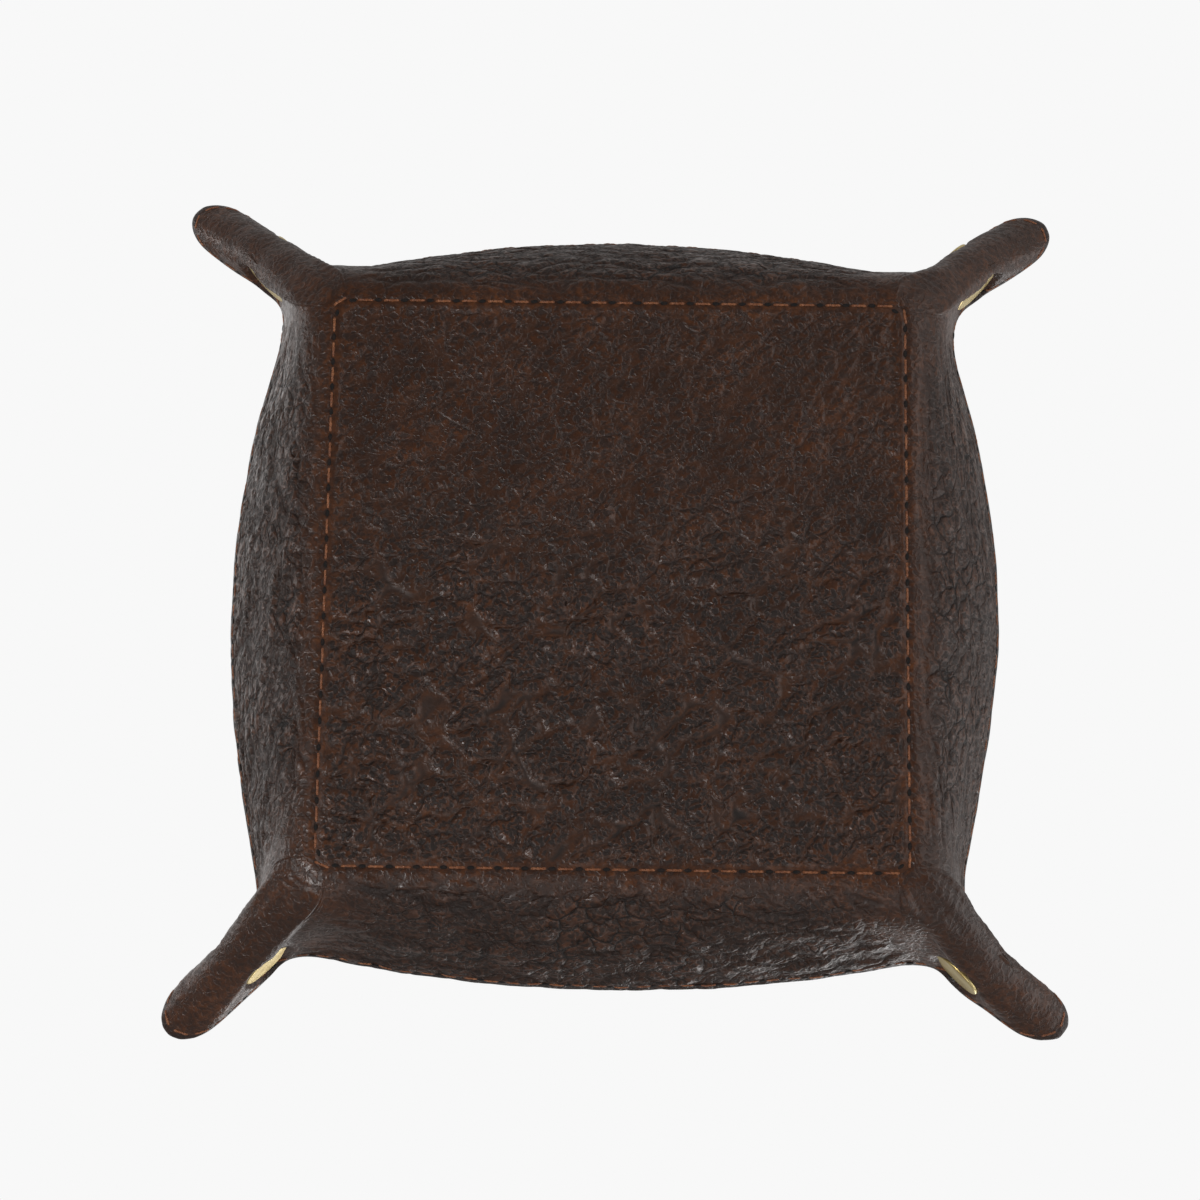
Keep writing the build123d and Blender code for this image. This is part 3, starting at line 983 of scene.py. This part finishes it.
def leather_material(name, brown, rust):
    """Leather whose fine grain follows Object coordinates, with creases from the mesh."""
    made, tree, place = material(name)
    crease, vein, grain_share, fold_share, seam, rim = (
        node(tree, "ShaderNodeAttribute", attribute_name=field).outputs["Fac"]
        for field in ("crease", "vein", "grain", "fold", "seam", "rim")
    )
    # worms of grain: cells in a bent space
    bent = pushed(tree, place, 260.0, 2.0, 0.0042)
    cells = node(tree, "ShaderNodeTexVoronoi", {"Vector": bent, "Scale": GRAIN_CELLS})
    web = cell_edges(tree, bent, GRAIN_WEB)
    # folds of the hide: bigger cells, flatter on the walls, that fade here and there
    drifted = pushed(tree, place, 120.0, 3.0, 0.009)
    drifted = node(tree, "ShaderNodeMapping", {"Vector": drifted, "Scale": FLATTENED}).outputs[0]
    from_fold = cell_edges(tree, drifted, FOLD_CELLS)
    pores = clouds(tree, place, 2400.0, 2.0)
    patches = clouds(tree, place, 48.0, 4.0, 0.62)
    dapples = clouds(tree, place, 520.0, 4.0, 0.7)
    pit = ranged(tree, cells.outputs["Distance"], 0.38, 0.62, 1.0, 0.0)
    pit = maths(tree, "MULTIPLY", pit, grain_share)
    fine_line = ranged(tree, web, 0.0, 0.07, 1.0, 0.0)
    folded = maths(tree, "MULTIPLY", fold_share, ranged(tree, patches, 0.4, 0.58, 0.3, 1.0))
    fold_line = maths(tree, "MULTIPLY", ranged(tree, from_fold, 0.0, 0.09, 1.0, 0.0), folded)
    fold_rise = maths(tree, "MULTIPLY", ranged(tree, from_fold, 0.0, 0.3), folded)
    # colour: brown in patches, rubbed rust, and painted shade that darkens the pits and creases
    rubbed = combined(tree, "ADD", (ranged(tree, patches, 0.38, 0.62), 0.55), (seam, 0.3),
                      (vein, 0.35))
    rubbed = maths(tree, "MULTIPLY", rubbed, ranged(tree, dapples, 0.42, 0.66))
    rubbed = node(tree, "ShaderNodeClamp", {0: rubbed}).outputs[0]
    colour = mixed(tree, ranged(tree, patches, 0.35, 0.65),
                   tone(*(value * 0.86 for value in brown)), tone(*brown))
    colour = mixed(tree, rubbed, colour, tone(*rust))
    colour = mixed(tree, maths(tree, "MULTIPLY", vein, 0.55), colour, tone(78, 52, 38))
    # painted shade: the pits, the web, the mesh's creases and the fold lines darken towards near
    # black
    painted_shade = combined(tree, "MAXIMUM", (pit, 0.85), (fine_line, 0.2), (crease, 0.8),
                    (fold_line, 0.85))
    colour = mixed(tree, painted_shade, colour, tone(19, 11, 8))
    colour = mixed(tree, maths(tree, "MULTIPLY", rim, 0.75), colour, tone(32, 23, 20))
    # rough where the painted shade lies, and a bump of pits, web, pores, dapples and folds
    rough = maths(tree, "ADD", ranged(tree, pores, 0.3, 0.7, 0.27, 0.4),
                  maths(tree, "MULTIPLY", painted_shade, 0.32))
    height = combined(tree, "ADD", (pit, -0.75), (fine_line, -0.08), (pores, 0.07),
                      (dapples, 0.5), (fold_rise, 2.4), (fold_line, -1.4))
    dress(tree, colour, rough, height, 0.85, Specular_IOR_Level=0.4)
    return made


bison = leather_material("bison_leather", (62, 37, 24), (106, 62, 34))
print("leather ready:", len(bison.node_tree.nodes), "nodes")

# %% [markdown]
# The cut edge is burnished: rubbed with wax until its fibres lie down. The lining is pigskin,
# paler and duller than the outside. The thread is waxed linen in rust brown. The balls in the awl
# holes are dark and a little fluffy: painted shade of the holes.

# %% Edge, lining, thread and painted hole shade
edge_made, tree, place = material("burnished_edge")
fibres = clouds(tree, place, 900.0, 3.0)
shade = mixed(tree, ranged(tree, fibres, 0.35, 0.7), tone(30, 20, 17), tone(52, 36, 29))
dress(tree, shade, 0.42, fibres, 0.4, 0.0003)

lining_material, tree, place = material("pigskin_lining")
pores = cell_edges(tree, place, 900.0)
soft = clouds(tree, place, 70.0, 5.0, 0.6)
nap = clouds(tree, place, 1600.0, 2.0)
shade = mixed(tree, ranged(tree, soft, 0.3, 0.7), tone(66, 42, 30), tone(88, 58, 40))
# painted shade: the low lines of the pores are darkened
shade = mixed(tree, ranged(tree, pores, 0.0, 0.12, 0.35, 0.0), shade, tone(38, 24, 18))
height = maths(tree, "ADD", ranged(tree, pores, 0.0, 0.15), nap)
dress(tree, shade, ranged(tree, nap, 0.3, 0.7, 0.6, 0.78), height, 0.5)

thread_material, tree, place = material("waxed_thread")
strands = clouds(tree, place, 2600.0, 3.0)
wear = clouds(tree, place, 260.0, 3.0)
shade = mixed(tree, ranged(tree, wear, 0.35, 0.65), tone(120, 70, 42), tone(164, 106, 68))
shade = mixed(tree, ranged(tree, strands, 0.4, 0.6, 0.0, 0.45), shade, tone(74, 34, 18))
dress(tree, shade, 0.55, strands, 0.6)

# painted shade: a near-black finish for the balls that stand in for the shade inside the awl holes
hole_shade_material, tree, place = material("awl_hole_shade")
fluff = clouds(tree, place, 1500.0, 2.0)
dress(tree, mixed(tree, ranged(tree, fluff, 0.45, 0.7), tone(8, 5, 4), tone(34, 19, 12)), 0.9)
print("soft finishes:", edge_made.name, lining_material.name, thread_material.name)

# %% [markdown]
# The press studs are brass with fine scratches and paler and darker spots. The board is plain
# grey-brown fibre, and the lining covers it.

# %% Brass and board
brass_material, tree, place = material("brushed_brass")
scratch = clouds(tree, place, 700.0, 6.0, 0.7)
spots = clouds(tree, place, 240.0, 3.0)
shade = mixed(tree, ranged(tree, spots, 0.4, 0.7), tone(222, 204, 150), tone(196, 172, 112))
dress(tree, shade, ranged(tree, scratch, 0.3, 0.7, 0.3, 0.45), scratch, 0.12, Metallic=1.0)

board_material, tree, place = material("fibre_board")
fibre = clouds(tree, place, 500.0, 4.0)
shade = mixed(tree, ranged(tree, fibre, 0.35, 0.65), tone(112, 92, 70), tone(134, 112, 86))
dress(tree, shade, 0.85)
print("hard finishes:", brass_material.name, board_material.name)


# %% [markdown]
# ## Finishes on the pieces
# Each panel replaces the plain solids of the measured model, which are hidden. The base's pieces
# and the tongues go on their bodies. The brass keeps the measured shapes and gets its own finish.

# %% Attach
BEND = 6.5


def finish(piece, *materials):
    """Puts materials on a piece, in order, and keeps which face has which."""
    kinds = np.zeros(len(piece.data.polygons), dtype=np.int32)
    piece.data.polygons.foreach_get("material_index", kinds)
    piece.data.materials.clear()
    for made in materials:
        piece.data.materials.append(made)
    piece.data.polygons.foreach_set("material_index", np.minimum(kinds, len(materials) - 1))


LAYERS = (
    (leather_pieces, "leather", (bison, edge_made)),
    (lining_pieces, "lining", (lining_material, edge_made)),
    (rim_seams, "thread", (thread_material, hole_shade_material)),
)


def attach(panel_name, lower_body, first, last, *with_nodes):
    """Puts finishes on a panel's leather, lining and rim seam, and hides the measured solids they
    replace.
    """
    for pieces, sheet, materials in LAYERS:
        piece = pieces[panel_name]
        finish(piece, *materials)
        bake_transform(piece)
        if sheet != "thread":
            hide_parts(*(f"{node_name}_{sheet}" for node_name in (panel_name, *with_nodes)))


for piece in (base_skin, base_inside):
    finish(piece, bison if piece is base_skin else lining_material, edge_made)
    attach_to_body(piece, "base")
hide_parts("base_leather")
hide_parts("base_lining")
for piece in (base_seam, base_seam_inside):
    finish(piece, thread_material, hole_shade_material)
    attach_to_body(piece, "base")
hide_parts("base_stitching")

for quarter, side in enumerate(SIDES):
    out = turned(np.array([1.0, 0, 0]), quarter)
    first = out * SEAM_HALF * MM
    attach(f"{side}_wall", "base", first, first + (out + [0, 0, 1]) * BEND * MM)
    corner = corner_name(quarter)
    angle = QUARTER * quarter + QUARTER / 2
    diagonal = np.array([math.cos(angle), math.sin(angle), 0])
    across = np.array([diagonal[1], -diagonal[0], 0])
    ridge_up = np.array([0, 0, math.cos(RIDGE_ANGLE)]) - math.sin(RIDGE_ANGLE) * diagonal
    for beside, sign in ((side, 1), (SIDES[(quarter + 1) % 4], -1)):
        panel_name = f"{corner}_flap_by_{beside}"
        toward = across * sign * 0.3 + ridge_up * 0.95
        first = (diagonal * HINGE_ALONG + toward * 0.6) * MM
        ridge = f"{corner}_ridge"
        # the first flap of a corner also stands for the ridge strip
        also = [ridge] if sign == 1 else []
        attach(panel_name, ridge, first, first + toward * BEND * MM, *also)
        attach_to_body(tongues[panel_name], panel_name)
        finish(tongues[panel_name], bison, bison)
for quarter in range(4):
    for stud_piece in ("cap", "socket", "back_cap", "stud"):
        finish(bpy.data.objects[f"{corner_name(quarter)}_{stud_piece}"], brass_material)
finish(bpy.data.objects["base_board"], board_material)
print("attached", len(leather_pieces) + len(lining_pieces) + len(rim_seams) + 4, "pieces")

# %% [markdown]
# Each panel is a part of one flat cut.


# %% [markdown]
# ## Floor, light and camera
# The photograph shows the tray from below, so the floor must hide nothing from there: it shows
# from above only, and lets light through, while it still takes the tray's shadow. The lamps and
# the room are nearly white, so that each colour comes out about as it is written.

# %% Floor
FLOOR_HEIGHT = -0.0009
bpy.ops.object.select_all(action="DESELECT")
bpy.ops.mesh.primitive_plane_add(size=6, location=(0, 0, FLOOR_HEIGHT))
floor = bpy.context.object
floor.name = "floor"
floor_made, tree, _ = material("pale_floor")
paint = node(tree, "ShaderNodeBsdfDiffuse", {"Color": (0.86, 0.86, 0.86, 1)})
clear = node(tree, "ShaderNodeBsdfTransparent")
ray = node(tree, "ShaderNodeLightPath")
facing = node(tree, "ShaderNodeNewGeometry").outputs["Backfacing"]
front_side = maths(tree, "SUBTRACT", 1.0, facing)
seen = maths(tree, "MULTIPLY", ray.outputs["Is Camera Ray"], front_side)
surface = node(tree, "ShaderNodeMixShader", {0: seen, 1: clear.outputs[0], 2: paint.outputs[0]})
node(tree, "ShaderNodeOutputMaterial", {0: surface.outputs[0]})
floor.data.materials.append(floor_made)
print("floor at", FLOOR_HEIGHT * 1000, "mm")

# %% [markdown]
# The room is bright at the height of the tray and above, and dark below, where the camera
# stands. So the base reflects a dark room, and the slopes take a pale sheen.

# %% World
world = bpy.data.worlds.new("studio")
bpy.context.scene.world = world
world.use_nodes = True
tree = world.node_tree
tree.nodes.clear()
ray = node(tree, "ShaderNodeLightPath")
direct = maths(tree, "MAXIMUM", ray.outputs["Is Camera Ray"], ray.outputs["Is Transmission Ray"])
way = node(tree, "ShaderNodeTexCoord").outputs["Generated"]
parts = node(tree, "ShaderNodeSeparateXYZ", {0: way})
upward_light = ranged(tree, parts.outputs["Z"], -0.85, 0.1, 0.05, 0.44)
backward_light = ranged(tree, parts.outputs["Y"], -0.8, 0.8, 0.7, 1.3)
level = maths(tree, "MULTIPLY", upward_light, backward_light)
backdrop = node(tree, "ShaderNodeBackground", {0: tone(248, 248, 248), 1: 1.0})
room = node(tree, "ShaderNodeBackground", {0: (1, 0.99, 0.98, 1), 1: level})
choose = node(tree, "ShaderNodeMixShader", {0: direct, 1: room.outputs[0], 2: backdrop.outputs[0]})
node(tree, "ShaderNodeOutputWorld", {0: choose.outputs[0]})
print("room:", world.name)

# %% [markdown]
# One small lamp from below draws the grain with short shadows, and wide ones fill them. Two
# stand level with the tray for the walls, and two above light it when it is seen from there.


# %% Lamps
TARGET = Vector((0, 0, 0.015))


def soft_lamp(name, place, power, size):
    """A square soft box that faces the tray."""
    data = bpy.data.lights.new(name, "AREA")
    data.energy = power
    data.size = size
    lamp = bpy.data.objects.new(name, data)
    bpy.context.collection.objects.link(lamp)
    lamp.location = place
    lamp.rotation_euler = (TARGET - Vector(place)).to_track_quat("-Z", "Y").to_euler()
    print(name, power, "W")


soft_lamp("below_key", (0.5, -0.25, -0.75), 3.2, 0.12)
soft_lamp("below_front", (-0.1, -0.9, -0.7), 2.8, 0.8)
soft_lamp("below_fill", (-0.62, 0.3, -0.6), 2.4, 0.7)
soft_lamp("level_side", (-0.85, -0.3, 0.12), 3.4, 0.9)
soft_lamp("level_other", (0.95, 0.15, 0.08), 1.2, 0.3)
soft_lamp("above_key", (-0.6, -0.7, 1.1), 5.0, 0.7)
soft_lamp("above_fill", (0.8, 0.5, 0.9), 2.0, 0.9)

# %% [markdown]
# The camera is under the tray and looks up, turned so that the tray's front is at the bottom of
# the picture. Its angles, distance and focal length were fitted to the seam's corners, the rims
# and the tips of the ears in the photograph.

# %% Camera
ELEVATION = math.radians(77.0)
FOCAL_PIXELS = 2908.0
DISTANCE = 654.0
AZIMUTH = math.radians(2.30)
ROLL = math.radians(-1.50)
SHIFT = (3.59, 4.57)
PICTURE_PIXELS = 1200
SENSOR = 36.0
back = np.array([0, -math.cos(ELEVATION), -math.sin(ELEVATION)])
right = np.array([-1.0, 0, 0])
up = np.cross(back, right)
c, s = math.cos(ROLL), math.sin(ROLL)
right, up = c * right + s * up, c * up - s * right
c, s = math.cos(-AZIMUTH), math.sin(-AZIMUTH)
turn = np.array([[c, -s, 0], [s, c, 0], [0, 0, 1]])
place = turn @ (back * DISTANCE - right * SHIFT[0] - up * SHIFT[1]) * MM
axes = [turn @ axis for axis in (right, up, back)]
camera_data = bpy.data.cameras.new("camera")
camera = bpy.data.objects.new("camera", camera_data)
bpy.context.collection.objects.link(camera)
camera.matrix_world = Matrix(
    [[*(axis[row] for axis in axes), place[row]] for row in range(3)] + [[0, 0, 0, 1]]
)
camera_data.sensor_width = SENSOR
camera_data.sensor_fit = "HORIZONTAL"
camera_data.lens = FOCAL_PIXELS / PICTURE_PIXELS * SENSOR
camera_data.clip_start = 0.01
bpy.context.scene.camera = camera
bpy.context.scene.view_settings.view_transform = "Standard"
print("camera", [round(float(v), 3) for v in place], "lens", round(camera_data.lens, 1))
